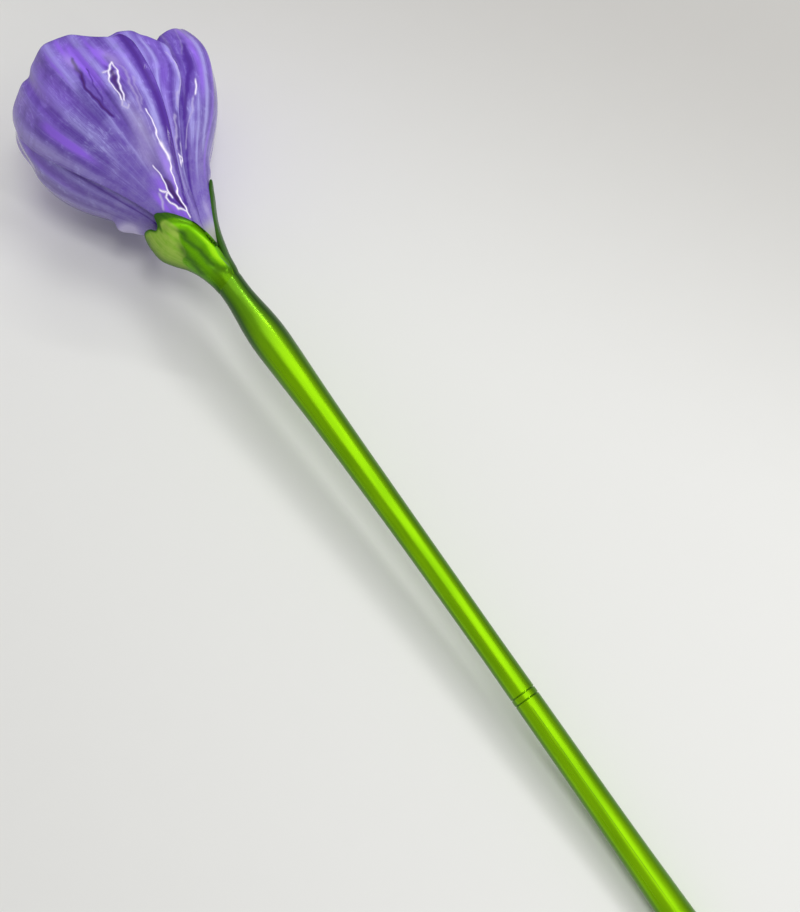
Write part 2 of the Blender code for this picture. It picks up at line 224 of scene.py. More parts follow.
        rim=((-1, 53), (-0.75, 57), (-0.4, 59.4), (-0.1, 60.6), (0.2, 60), (0.5, 57), (0.8, 54), (1, 49)),
        swells=((0.6, 0.4, 0.4, 0.25, 1.0),),
    ),
    "petal_left": dict(
        centre=(-80, -80, -84),
        half=(46, 44, 48),
        layer=0,
        rim=((-1, 55), (-0.8, 59), (-0.5, 62.4), (-0.2, 63), (0.1, 62.6), (0.4, 62.6), (0.7, 60), (1, 55)),
        swells=((-0.6, 0.315, 0.3, 0.032, 3.4), (-0.6, 0.26, 0.3, 0.045, 2.4), (0.1, 0.85, 0.5, 0.3, 0.6),
                (-0.75, 0.6, 0.35, 0.2, 0.8), (-0.2, 0.9, 0.25, 0.07, 1.1), (-0.25, 0.75, 0.25, 0.06, -0.9)),
        folds=((-0.6, 0.1, 0.5), (-0.25, 0.1, 0.5), (0.1, 0.1, 0.5), (0.45, 0.09, 0.5), (0.8, 0.08, 0.4)),
        pale=((-0.3, 0.1, 0.4, 0.4, 1.1), (0.1, 0.08, 0.4, 0.3, 1.1), (0.42, 0.06, 0.45, 0.3, 1.1),
              (0.65, 0.04, 0.4, 0.3, 1.0)),
        deep=((-0.5, 0.1, 0.4, 0.3, 1), (0.53, 0.03, 0.9, 0.15, 0.95), (0.25, 0.05, 0.4, 0.3, 0.9),
              (-0.1, 0.05, 0.4, 0.3, 0.9)),
        glow=((0.2, 0.1, 0.3, 0.5, 0.9),),
        milk=((-0.5, 0.28, 0.28, 0.036, 1.6),),
    ),
}
PLAIN_PETAL = dict(
    right=((0, 1), (1, 1)),
    swells=(),
    folds=((-0.8, 0.09, 0.5), (-0.5, 0.1, 0.7), (-0.2, 0.09, 0.5), (0.1, 0.1, 0.7), (0.4, 0.09, 0.5),
           (0.7, 0.1, 0.6)),
    pale=((-0.8, 0.06, 0.5, 0.4, 1.1), (-0.5, 0.07, 0.8, 0.45, 1.1), (-0.2, 0.05, 0.4, 0.4, 1.1),
          (0.1, 0.07, 0.8, 0.45, 1.1), (0.4, 0.05, 0.5, 0.4, 1.1), (0.7, 0.07, 0.7, 0.45, 1.1)),
    deep=((-0.64, 0.05, 0.5, 0.4, 1), (-0.04, 0.06, 0.6, 0.4, 1), (0.54, 0.05, 0.5, 0.4, 1)),
    glow=((-0.36, 0.06, 0.6, 0.55, 0.9), (0.26, 0.06, 0.7, 0.6, 0.95)),
    milk=((0.3, 0.3, 0.4, 0.15, 0.15),),
    glint_lines=(),
    shade_lines=(),
    rows=110,
)
PETAL_COLUMNS = 190
PETAL_LIP = 0.1  # share by which a petal thickens near its rim
LINE_WANDER = 0.22  # how far threads and cracks stray from a straight line

# Sepals: centre and half as for a petal, rim the rim's station across the sepal, and radius the outer
# surface's radius at each station.
SEPAL_START = -20.5
SEPAL_LENGTH = 27.0
SEPAL_ROWS = 80
SEPAL_COLUMNS = 110
SEPAL_LIP = -0.35  # a sepal thins near its rim
SEPALS = {
    "sepal_broad": dict(
        centre=(-30, -38, -43.5),
        half=(78, 71, 52.5),
        rim=((-1, 4), (-0.6, 7.3), (-0.3, 6.8), (-0.12, 4.9), (0.02, 5.6), (0.1, 7.9), (0.2, 8.2), (0.3, 7.4),
             (0.45, 6.2), (0.62, 3.6), (0.8, 0.3), (1, -5)),
        radius=((-21, 4.1), (-20, 4.3), (-19, 4.5), (-17.5, 4.85), (-16, 5.3), (-12, 6.5), (-8, 8.4),
                (-4.5, 11.0), (-1, 13.2), (3, 14.1), (7, 14.5), (11, 15.6)),
    ),
    "sepal_narrow": dict(
        centre=(76, 78, 76),
        half=(56, 26, 6),
        rim=((-1, 8), (-0.5, 9.5), (0, 10.8), (0.5, 10), (1, 8.5)),
        radius=((-21, 4.36), (-19, 4.45), (-17.5, 4.6), (-16, 4.9), (-12, 5.3), (-8, 6.2), (-4.5, 7.1),
                (-1, 8.3), (3, 10.2), (7, 12.5), (11, 14.9), (15, 17.8)),
    ),
    "sepal_under": dict(
        centre=(168, 168, 168),
        half=(66, 40, 24),
        rim=((-1, 2), (-0.4, 6), (0, 8), (0.4, 6), (1, 2)),
        radius=((-21, 4.36), (-19, 4.5), (-17.5, 4.7), (-16, 5.1), (-12, 5.9), (-8, 7.3), (-4.5, 9.0),
                (-1, 10.8), (3, 12.2), (7, 13.6), (11, 15.2)),
    ),
}

# Turned pieces and the rod: (station, radius).
BASE_PROFILE = (
    (-4.4, 5.2), (-1, 6.1), (1.2, 6.6), (2.4, 6.9), (3.4, 6.6), (8, 6.4), (12, 6.0), (14.4, 3.6), (15, 0),
)
STEM_PROFILE = (
    (-266.5, 3.4), (-265, 4.5), (-262, 4.88), (-256, 4.94), (-247, 4.82), (-239, 4.65), (-230, 4.45),
    (-220, 4.3), (-210, 4.2), (-197, 4.14), (-184, 4.08), (-171, 4.04), (-158, 3.98), (-143, 4.03),
    (-127, 4.12), (-112, 4.25), (-96, 4.45), (-81, 4.67), (-69, 4.95), (-60, 5.25), (-51, 5.6), (-47, 5.75),
    (-42, 5.88), (-38, 5.8), (-34, 5.5), (-31, 5.15), (-28, 4.8), (-25, 4.5), (-22.5, 4.4), (-17.2, 4.3),
    (-14, 3.6), (-8, 4.0), (-5, 4.2),
)
BASE_RINGS = 90
BASE_SIDES = 72
STEM_RINGS = 330
STEM_SIDES = 96
STEM_TIP_ROUNDING = 3.0  # how far from the rod's free end its rounding starts
STEM_TOP_ROUNDING = 1.0  # the same at the end inside the calyx
STEM_BOW = 0.8  # how far the rod bows sideways over STEM_BOW_LENGTH
STEM_BOW_LENGTH = 247.0
JOINT_RINGS = (-172.15, -174.25)  # stations of the two fine rings where the two lengths of rod are fused
JOINT_RING_DEPTH = 0.28
JOINT_RING_WIDTH = 0.16

EDGE_ROWS = 5  # rows that round the edge of a petal or sepal

# The painted highlight lines glow a little with this colour and strength.
HIGHLIGHT_GLOW = (1.0, 0.9, 1.0)
HIGHLIGHT_GLOW_STRENGTH = 0.25
SHADOW_TINT = (0.97, 0.95, 1.0)  # colour of the lamps' light that the petals let pass


def colour_setting(name, description, default):
    """A colour that the user may change."""
    return FloatVectorProperty(
        name=name, description=description, default=default, subtype="COLOR", min=0.0, max=1.0
    )


class CrocusPetalSettings(PropertyGroup):
    """Glass of the petals and of the base they grow from."""

    thickness: FloatProperty(
        name="Thickness", description="Thickness of a petal", default=1.6 * MM, min=0.5 * MM, unit="LENGTH"
    )
    fold_height: FloatProperty(
        name="Fold height", description="Share of each fold's full height", default=1.0, min=0.0,
        subtype="FACTOR",
    )
    purple: colour_setting("Purple", "Body of the glass", (0.162, 0.09, 0.485))
    lavender: colour_setting("Lavender", "Pale streaks", (0.42, 0.385, 0.87))
    deep: colour_setting("Deep purple", "Dark streaks", (0.09, 0.035, 0.33))
    # Also the colour of the painted violet highlights.
    violet: colour_setting("Violet", "Bright streaks", (0.33, 0.155, 0.92))
    mist: colour_setting("Mist", "Cloud near the base", (0.27, 0.22, 0.53))
    milk: colour_setting("Milk", "White glass", (0.6, 0.54, 0.84))
    # Colour of the dark lines of painted shade.
    shade_line_colour: colour_setting("Cracks", "Dark cracks in the glass", (0.06, 0.012, 0.17))
    # Colour of the thin white lines of painted highlight.
    highlight_colour: colour_setting("Threads", "White threads in the glass", (0.94, 0.88, 0.97))
    root: colour_setting("Root", "Clear glass at the roots", (0.4, 0.43, 0.32))
    roughness: FloatProperty(
        name="Roughness", description="Roughness of the fire-polished surface", default=0.1, min=0.0, max=1.0
    )


class CrocusGreenSettings(PropertyGroup):
    """Glass of the calyx and the stem."""

    sepal_thickness: FloatProperty(
        name="Sepal thickness", description="Thickness of a sepal", default=1.5 * MM, min=0.5 * MM,
        unit="LENGTH",
    )
    leaf: colour_setting("Leaf green", "Body of the calyx", (0.16, 0.47, 0.002))
    # Dark green is also the painted shade in the sepal's valleys and on the rod near the calyx.
    dark: colour_setting("Dark green", "Rims and hollows", (0.035, 0.11, 0.012))
    frost: colour_setting("Frosted green", "Pale patch", (0.37, 0.58, 0.08))
    # The ridge's brighter green, and the crest's brightest one, are a painted highlight along the raised
    # ridge.
    ridge: colour_setting("Ridge green", "Raised ridge", (0.24, 0.74, 0.002))
    ridge_highlight: colour_setting("Crest green", "Brightest part of the ridge", (0.42, 0.9, 0.01))
    stem: colour_setting("Stem green", "Body of the stem", (0.45, 0.98, 0.004))
    sheen: FloatProperty(
        name="Stem sheen", description="How far the stem mirrors the room", default=0.93, min=0.0, max=1.0
    )


class CrocusStageSettings(PropertyGroup):
    """Floor, lamps and camera."""

    floor: colour_setting("Floor", "Colour of the floor", (0.86, 0.86, 0.835))
    far_floor: colour_setting("Far floor", "Colour of the floor where less light falls", (0.53, 0.515, 0.49))
    sky: FloatProperty(
        name="Room light", description="Strength of the light from all round", default=0.3, min=0.0
    )
    key: FloatProperty(
        name="Window", description="Power of the window light", default=5.2, min=0.0, unit="POWER"
    )
    lens: FloatProperty(name="Lens", description="Focal length", default=70.77, min=10.0, unit="CAMERA")


# ------------------------------------------------------------ shader maths


class Link:
    """A node's output in an expression: + - * and ** on it add Math nodes."""

    def __init__(self, graph, socket):
        self.graph = graph
        self.socket = socket

    def math(self, operation, *values, clamp=False):
        return self.graph.node("ShaderNodeMath", {"operation": operation, "use_clamp": clamp}, *values)

    def __add__(self, other):
        return self.math("ADD", self, other)

    def __sub__(self, other):
        return self.math("SUBTRACT", self, other)

    def __rsub__(self, other):
        return self.math("SUBTRACT", other, self)

    def __mul__(self, other):
        return self.math("MULTIPLY", self, other)

    def __pow__(self, other):
        return self.math("POWER", self, other)

    __radd__ = __add__
    __rmul__ = __mul__

    def clamped(self):
        """The value held between 0 and 1."""
        return self.math("ADD", self, 0.0, clamp=True)

    def step(self, low, high):
        """0 below low, 1 above high and smooth between."""
        settings = {"interpolation_type": "SMOOTHSTEP"}
        return self.graph.node("ShaderNodeMapRange", settings, self, low, high)


class Graph:
    """The node tree of one material, with its Principled shader."""

    def __init__(self, name):
        self.material = bpy.data.materials.new(name)
        self.material.use_nodes = True
        self.tree = self.material.node_tree
        self.shader = self.tree.nodes["Principled BSDF"]
        self.output = self.tree.nodes["Material Output"]

    def node(self, kind, settings, *values, output=0, **named):
        """Adds a node: its settings first, then its inputs by place or name, as numbers, colours or links."""
        made = self.tree.nodes.new(kind)
        for key, value in settings.items():
            setattr(made, key, value)
        for key, value in [*enumerate(values), *((k.replace("_", " "), v) for k, v in named.items())]:
            self.feed(made.inputs[key], value)
        return Link(self, made.outputs[output])

    def feed(self, socket, value):
        """Links or sets one input socket."""
        if isinstance(value, Link):
            self.tree.links.new(value.socket, socket)
        elif socket.type == "RGBA":
            socket.default_value = (*value[:3], 1.0)
        else:
            socket.default_value = value

    def attribute(self, name):
        return self.node("ShaderNodeAttribute", {"attribute_name": name}, output="Vector")

    def place(self):
        return self.node("ShaderNodeTexCoord", {}, output="Object")

    def parts(self, vector):
        """The three numbers of a vector."""
        split = self.node("ShaderNodeSeparateXYZ", {}, vector).socket.node
        return [Link(self, split.outputs[i]) for i in range(3)]

    def joined(self, x, y, z):
        return self.node("ShaderNodeCombineXYZ", {}, x, y, z)

    def noise(self, vector, scale, detail, roughness=0.5, distortion=0.0):
        return self.node(
            "ShaderNodeTexNoise", {}, output="Fac", Vector=vector, Scale=scale, Detail=detail,
            Roughness=roughness, Distortion=distortion,
        )

    def mix(self, below, above, share):
        """Colour below with share of colour above laid over it. A Mix node set to colours takes them at its
        inputs 6 and 7."""
        made = self.tree.nodes.new("ShaderNodeMix")
        made.data_type = "RGBA"
        self.feed(made.inputs[0], share)
        self.feed(made.inputs[6], below)
        self.feed(made.inputs[7], above)
        return Link(self, made.outputs[2])

    def bump(self, height, strength, distance):
        return self.node(
            "ShaderNodeBump", {}, output="Normal", Strength=strength, Distance=distance, Height=height
        )

    def let_lamps_through(self, share, colour):
        """Lets a share of each lamp's light pass, tinted, so that the glass casts a pale coloured shadow."""
        path = self.node("ShaderNodeLightPath", {}, output="Is Shadow Ray")
        clear = self.node("ShaderNodeBsdfTransparent", {}, colour)
        principled = Link(self, self.shader.outputs[0])
        mixed = self.node("ShaderNodeMixShader", {}, path * share, principled, clear)
        self.tree.links.new(mixed.socket, self.output.inputs["Surface"])

    def finish(self, **inputs):
        """Feeds the Principled shader's inputs by name, an underscore standing for a space."""
        for key, value in inputs.items():
            self.feed(self.shader.inputs[key.replace("_", " ")], value)
        return self.material


# --------------------------------------------------------- shapes in numpy


def smooth_step(x):
    """0 below 0, 1 above 1, and 3x^2 - 2x^3 between."""
    x = np.clip(x, 0.0, 1.0)
    return x * x * (3 - 2 * x)


def read_curve(points, x):
    """A smooth curve through (x, value) points: a cubic between each two, whose slope at a point is that of
    the line through its neighbours."""
    xs, ys = np.array(points, float).T
    slopes = np.empty_like(ys)
    slopes[1:-1] = (ys[2:] - ys[:-2]) / (xs[2:] - xs[:-2])
    slopes[0] = (ys[1] - ys[0]) / (xs[1] - xs[0])
    slopes[-1] = (ys[-1] - ys[-2]) / (xs[-1] - xs[-2])
    i = np.clip(np.searchsorted(xs, x, side="right") - 1, 0, len(xs) - 2)
    span = xs[i + 1] - xs[i]
    t = np.clip((x - xs[i]) / span, 0, 1)
    first, last, rise = slopes[i] * span, slopes[i + 1] * span, ys[i + 1] - ys[i]
    return ys[i] + t * (first + t * (3 * rise - 2 * first - last + t * (first + last - 2 * rise)))


def thirds(values, along):
    """A curve through values given at the root, half way and at the rim."""
    return read_curve(tuple(zip((0, 0.5, 1), values)), along)


def bells(table, across, along):
    """The sum of two-way bells: across, along, the half widths of both, and height."""
    total = np.zeros(np.broadcast(across, along).shape)
    for place, height_at, width, length, height in table:
        total += height * np.exp(-(((across - place) / width) ** 2) - ((along - height_at) / length) ** 2)
    return total


def streaks(table, across, along):
    """The sum of streaks that run from the root to the rim: each a bell across, which wanders a little and
    fades in and out at its two ends along."""
    total = np.zeros(np.broadcast(across, along).shape)
    for index, (place, width, strength, start, end) in enumerate(table):
        wander = 0.008 * np.sin(11 * along + 2.3 * index) + 0.004 * np.sin(29 * along + 1.7 * index)
        fade = smooth_step((along - start) / 0.14 + 0.5) * smooth_step((end - along) / 0.1 + 0.5)
        total += strength * fade * np.exp(-(((across - place - wander) / width) ** 2))
    return total


def line_distance(places, across, along, width, length):
    """Distance, in millimetres on a leaf of this length that is width wide from its middle to its edge, to
    the nearest of the straight pieces between places."""
    nearest = np.full(np.broadcast(across, along).shape, np.inf)
    for (across_0, along_0), (across_1, along_1) in zip(places, places[1:]):
        over, up = (across_1 - across_0) * width, (along_1 - along_0) * length
        x, y = (across - across_0) * width, (along - along_0) * length
        share = np.clip((x * over + y * up) / (over * over + up * up), 0, 1)
        nearest = np.minimum(nearest, np.hypot(x - share * over, y - share * up))
    return nearest


def drawn_lines(table, across, along, width, length=PETAL_LENGTH):
    """The strongest of some thin lines: each a bell of the distance to the places it runs through, on a leaf
    whose points are first moved by a few waves LINE_WANDER high, so that the lines aren't straight."""
    x, y = across * width, along * length
    sideways = np.sin(0.9 * y) + 0.5 * np.sin(2.3 * y + 1) + 0.4 * np.sin(1.7 * x)
    lengthways = np.sin(1.3 * x) + 0.6 * np.sin(1.1 * y + 2)
    across = across + LINE_WANDER * sideways / width
    along = along + LINE_WANDER * lengthways / length
    total = np.zeros(np.broadcast(across, along).shape)
    for half_width, strength, places in table:
        nearest = line_distance(places, across, along, width, length)
        total = np.maximum(total, strength * np.exp(-((nearest / half_width) ** 2)))
    return total


def box_middle(node):
    """The middle of a CAD node's box."""
    low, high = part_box(node)
    return np.array((low + high) / 2)


STEM_LINE = box_middle("calyx_neck") - box_middle("stem_joint")
SLOPE = math.atan2(STEM_LINE[2], STEM_LINE[1])
SIDE_AXIS = np.array((1.0, 0.0, 0.0))
LONG_AXIS = np.array((0.0, math.cos(SLOPE), math.sin(SLOPE)))
RISE_AXIS = np.array((0.0, -math.sin(SLOPE), math.cos(SLOPE)))
ORIGIN = box_middle("calyx_neck") - MM * NECK_STATION * LONG_AXIS  # where the base meets the calyx


def polar_point(station, radius, azimuth):
    """Side, station and rise of a point given by station, distance from the axis and azimuth."""
    angle = np.radians(azimuth)
    return np.stack(np.broadcast_arrays(radius * np.sin(angle), station, radius * np.cos(angle)), axis=-1)


def laid_down(points, yaw=0.0):
    """Turns points of the flower's own frame, in millimetres, about its rise by yaw towards +X, and puts
    them where the flower lies, in metres."""
    side = points[..., 0:1] * math.cos(yaw) + points[..., 1:2] * math.sin(yaw)
    station = points[..., 1:2] * math.cos(yaw) - points[..., 0:1] * math.sin(yaw)
    return ORIGIN + MM * (side * SIDE_AXIS + station * LONG_AXIS + points[..., 2:3] * RISE_AXIS)


def swelling(station, azimuth):
    """How far the cup swells outwards: bells round its azimuth, with a belly and a flared rim."""
    total = 0.0
    for centre, width, belly, rim in SWELLINGS:
        turn = (azimuth - centre + 180) % 360 - 180
        bulge = belly * np.exp(-(((station - BELLY_STATION) / BELLY_WIDTH) ** 2))
        flare = rim * smooth_step((station - FLARE_START) / FLARE_LENGTH)
        total = total + np.exp(-((turn / width) ** 2)) * (bulge + flare)
    return total


def petal_point(petal, fold_height, along, across):
    """Outer surface of a petal. The station runs from the root to the rim's, the azimuth across; the radius
    is the cup's, raised along its normal by the petal's layer, the cup's swelling, the petal's swells and
    its folds, and cut off flat where the flower lies on it."""
    reach = np.where(across > 0, read_curve(petal["right"], along), 1.0)
    azimuth = thirds(petal["centre"], along) + thirds(petal["half"], along) * across * reach
    station = PETAL_START + along * (read_curve(petal["rim"], across) - PETAL_START)
    radius = read_curve(CUP, station)
    slope = (read_curve(CUP, station + 0.2) - read_curve(CUP, station - 0.2)) / 0.4
    tilt = np.sqrt(1 + slope * slope)
    lift = petal["layer"] * PETAL_LAYER * smooth_step((station + 4) / 12)
    relief = bells(petal["swells"], across, along)
    for place, width, rise in petal["folds"]:
        fold = np.exp(-(((across - place) / width) ** 2)) - 0.45
        relief = relief + fold_height * rise * fold * smooth_step((along - 0.4) / 0.52)
    outer = radius + (lift + swelling(station, azimuth) + relief) / tilt
    below = np.cos(np.radians(azimuth - 180))
    lowest = radius + lift / tilt - CUP_LOWEST_CUT * smooth_step(station / 25)
    outer = np.where(below > 0.2, np.minimum(outer, lowest / np.maximum(below, 0.2)), outer)
    return polar_point(station - lift * slope / tilt, outer, azimuth)


def sepal_point(sepal, ridge, along, across):
    """Outer surface of a sepal: the station runs from the neck to a jagged rim, and the radius follows the
    sepal's profile, with bells of relief on it."""
    azimuth = thirds(sepal["centre"], along) + thirds(sepal["half"], along) * across
    station = SEPAL_START + along * (read_curve(sepal["rim"], across) - SEPAL_START)
    return polar_point(station, read_curve(sepal["radius"], station) + ridge(across, along), azimuth)


def edge_steps(thickness):
    """Distances from an edge at which rows are set to round it: equal turns of a half circle."""
    return thickness / 2 * (1 - np.cos(np.linspace(0, math.pi / 2, EDGE_ROWS + 1)))


def leaf_grid(surface, thickness, length, rows, columns):
    """Rows along and columns across a leaf, closer together at its edges so that they can be rounded."""
    steps = edge_steps(thickness)
    near = steps / length
    along = np.concatenate([near, np.linspace(near[-1], 1 - near[-1], rows)[1:-1], 1 - near[::-1]])[:, None]
    line = surface(along, np.linspace(-1, 1, 33)[None, :])
    width = np.linalg.norm(np.diff(line, axis=1), axis=-1).sum(axis=1)[:, None] / 2
    side = 1 - steps[None, :] / width
    middle = np.linspace(-1, 1, columns)[None, 1:-1] * side[:, -1:]
    across = np.concatenate([-side, middle, side[:, ::-1]], axis=1)
    return np.broadcast_to(along, across.shape), across, width


def rounding(distance, radius):
    """1 further than radius from an edge, and a quarter circle down to 0 at the edge."""
    return np.sqrt(np.clip(1 - np.clip(1 - distance / radius, 0, 1) ** 2, 0, 1))


def leaf_shell(surface, thickness, length, rows, columns, marks, lip):
    """A closed shell whose outer skin is surface(along, across) in millimetres: both skins stand half the
    thickness from the middle surface along its normal, and meet in a half circle all round the edge.
    marks(along, across, rim, side, width) gives the four numbers that the glass is coloured by, from the
    place, the distances to the rim and to the nearer side, and half the width. The first three become the
    tint attribute, and the leaf attribute holds across, along and the fourth. lip is the share by which the
    shell is thicker near its rim."""
    along, across, width = leaf_grid(surface, thickness, length, rows, columns)
    tiny = 1e-3
    skin = surface(along, across)
    rise = surface(along + tiny, across) - surface(along - tiny, across)
    over = surface(along, across + tiny) - surface(along, across - tiny)
    normal = np.cross(over, rise)
    normal /= np.linalg.norm(normal, axis=-1, keepdims=True)
    side = (1 - np.abs(across)) * width
    rim = (1 - along) * length
    half = thickness / 2
    fall = rounding(side, half) * rounding(rim, half) * rounding(along * length, half)
    thick = half * (1 + lip * np.exp(-(((rim - 1.2) / 1.6) ** 2)))
    middle = skin - half * normal
    outer = middle + (thick * fall)[..., None] * normal
    inner = middle - (thick * fall)[..., None] * normal
    count = outer[..., 0].size
    front = np.arange(count).reshape(outer.shape[:2])
    back = front.copy()
    back[1:-1, 1:-1] = count + np.arange(back[1:-1, 1:-1].size).reshape(back[1:-1, 1:-1].shape)

    def quads(index):
        corners = [index[:-1, :-1], index[:-1, 1:], index[1:, 1:], index[1:, :-1]]
        return np.stack(corners, axis=-1).reshape(-1, 4)

    def both_skins(values):
        return np.concatenate([values.reshape(-1, 3), values[1:-1, 1:-1].reshape(-1, 3)])

    faces = np.concatenate([quads(front), quads(back)[:, ::-1]])
    points = np.concatenate([outer.reshape(-1, 3), inner[1:-1, 1:-1].reshape(-1, 3)])
    first, second, third, fourth = np.broadcast_arrays(*marks(along, across, rim, side, width))
    tint = both_skins(np.stack([first, second, third], axis=-1))
    leaf = both_skins(np.stack([across, along, fourth], axis=-1))
    return points, faces, {"leaf": leaf, "tint": tint}


def turned_surface(stations, radii, ring, side=None):
    """A closed surface round the axis: a ring of points at each station, its middle moved by side, and the
    two ends closed by fans to a point. The leaf attribute holds the azimuth's sine, the station and the
    azimuth's cosine."""
    turn = np.linspace(0, 360, ring, endpoint=False)[None, :]
    points = polar_point(stations[:, None], radii[:, None], turn)
    if side is not None:
        points[..., 0] += side[:, None]
    count = len(stations)
    index = np.arange(count * ring).reshape(count, ring)
    beyond = np.roll(index, -1, axis=1)
    quads = np.stack([index[:-1], beyond[:-1], beyond[1:], index[1:]], axis=-1).reshape(-1, 4)
    middles = np.array([points[0].mean(axis=0), points[-1].mean(axis=0)])
    first, last = count * ring, count * ring + 1
    low = np.stack([np.full(ring, first), beyond[0], index[0]], axis=-1)
    high = np.stack([np.full(ring, last), index[-1], beyond[-1]], axis=-1)
    leaf = polar_point(stations[:, None], np.ones((count, 1)), turn).reshape(-1, 3)
    leaf = np.concatenate([leaf, [[0, stations[0], 0], [0, stations[-1], 0]]])
    faces = [*quads.tolist(), *low.tolist(), *high.tolist()]
    return np.concatenate([points.reshape(-1, 3), middles]), faces, {"leaf": leaf}


def add_piece(name, points, faces, attributes, material, replaced):
    """Makes a mesh piece at the origin that rides on the flower and stands for the CAD nodes replaced."""
    mesh = bpy.data.meshes.new(name)
    faces = faces.tolist() if isinstance(faces, np.ndarray) else faces
    mesh.from_pydata(points, [], faces)
    for key, values in attributes.items():
        layer = mesh.attributes.new(key, "FLOAT_VECTOR", "POINT")
        layer.data.foreach_set("vector", np.asarray(values, np.float32).ravel())
    mesh.materials.append(material)
    mesh.shade_smooth()
    mesh.validate()
    piece = bpy.data.objects.new(name, mesh)
    bpy.context.scene.collection.objects.link(piece)
    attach(piece, BODY)
    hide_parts(*replaced)
    return piece


# --------------------------------------------------------------- materials


def petal_glass(look):
    """Purple glass with lavender, dark and violet streaks and fine veins drawn out from root to rim, mist and
    mottling near the base, milky patches, and faint ripples. Painted on it are shade, as dark streaks and
    lines in creases and along edges, violet highlights among the violet streaks, thin white highlight lines
    that glow a little, and fine pale crackle lines that are partly painted glints. It looks deeper where it
    is seen at a slant, through more glass."""
    g = Graph("petal_glass")
    pale, deep, glow = g.parts(g.attribute("tint"))
    across, along, milk = g.parts(g.attribute("leaf"))
    place = g.place()
    drawn = g.noise(g.joined(across * 9, along * 1.3, milk), 1.0, 3.0, 0.55, 0.5)
    fine = g.noise(g.joined(across * 42, along * 4.0, milk), 1.0, 3.0, 0.55)
    cloud = g.noise(place, 190.0, 4.0, 0.6, 0.6)
    mottle = g.noise(place, 620.0, 3.0, 0.65, 1.2)
    base = g.node("ShaderNodeMapRange", {}, along, 0.75, 0.2)
    upper = along.step(0.55, 0.95)
    lavender = pale * (drawn * 1.1 + 0.45) * (fine + 0.5) + (cloud - 0.5) * 0.6 + upper * 0.1
    lavender = lavender.clamped()
    # The dark share: dark streaks, partly painted shade, and random darker tone from the cloud, fine lines
    # and mottling.
    shadow = deep * (drawn * 0.7 + 0.65) + (0.5 - cloud) * 0.6 + (0.5 - fine) * 0.55
    shadow = (shadow + (0.47 - mottle) * 0.35).clamped()
    # Violet share: the glow streaks, partly painted violet highlights, and violet cloud near the rim.
    bright = ((glow * (fine * 0.6 + 0.7) + upper * (cloud * 1.2 - 0.35)) * (1 - shadow * 0.8)).clamped()
    # Fine pale crackle lines in the upper glass, partly painted glints.
    glint_lines = g.noise(g.joined(across * 7, along * 4.5, milk), 1.0, 4.0, 0.6, 1.4)
    glint_lines = (1 - ((glint_lines - 0.5) * 26.0) ** 2.0).clamped() * cloud.step(0.48, 0.62) * along.step(0.25, 0.5)
    vein = g.noise(g.joined(across * 26, along * 2.6, milk), 1.0, 3.0, 0.6, 0.7)
    vein = (1 - ((vein - 0.5) * 30.0) ** 2.0).clamped() * drawn.step(0.4, 0.6)
    facing = g.node("ShaderNodeLayerWeight", {}, output="Facing", Blend=0.5)
    shadow = (shadow + facing.step(0.6, 1.0) * 0.45).clamped()
    colour = g.mix(look.purple, look.lavender, (lavender + glint_lines * 0.5 + vein * 0.35).clamped())
    colour = g.mix(colour, look.mist, (base * (mottle * 1.3 + cloud - 0.7)).clamped())
    colour = g.mix(colour, look.deep, shadow)
    colour = g.mix(colour, look.violet, bright)
    # The darkest places, mostly the lines of painted shade, go darker still.
    colour = g.mix(colour, look.shade_line_colour, ((deep - 1.15) * 1.4).clamped())
    colour = g.mix(colour, look.milk, (milk * (cloud * 0.8 + 0.6)).clamped())
    # milk above 1 marks the painted highlight lines: white here, and glowing a little below.
    colour = g.mix(colour, look.highlight_colour, (milk - 1.0).clamped())
    colour = g.mix(colour, look.root, (1 - along.step(0.04, 0.14)) * 0.85)
    g.let_lamps_through(along.step(0.35, 0.8) * 0.85, SHADOW_TINT)
    return g.finish(
        Base_Color=colour,
        Emission_Color=g.mix((0, 0, 0), HIGHLIGHT_GLOW, (milk - 1.0).clamped()),
        Emission_Strength=HIGHLIGHT_GLOW_STRENGTH,
        Roughness=mottle * 0.06 + (look.roughness - 0.03),
        IOR=1.5,
        Specular_IOR_Level=0.22,
        Normal=g.bump(drawn * 0.7 + mottle * 0.3, 0.2, 0.2 * MM),
    )


def base_glass(look):
    """Paler purple glass with milky cloud, for the base inside the petals."""
    g = Graph("base_glass")
    cloud = g.noise(g.place(), 240.0, 4.0, 0.6)
    colour = g.mix(look.lavender, look.milk, (cloud * 1.8 - 0.3).clamped())
    ripples = g.bump(cloud, 0.2, 0.2 * MM)
    return g.finish(Base_Color=colour, Roughness=cloud * 0.1 + 0.08, IOR=1.5, Normal=ripples)


def core_colour(g, look, facing, ripple, neck):
    """Green glass over a bright core: darker where it is seen at a slant, and dimmer and darker, as painted
    shade, where neck is 1.
    """
    colour = g.mix(look.stem, look.leaf, (ripple * 0.4 + neck * 0.5).clamped())
    return g.mix(colour, look.dark, (facing.step(0.1, 0.45) * 0.83 + neck * 0.3).clamped())


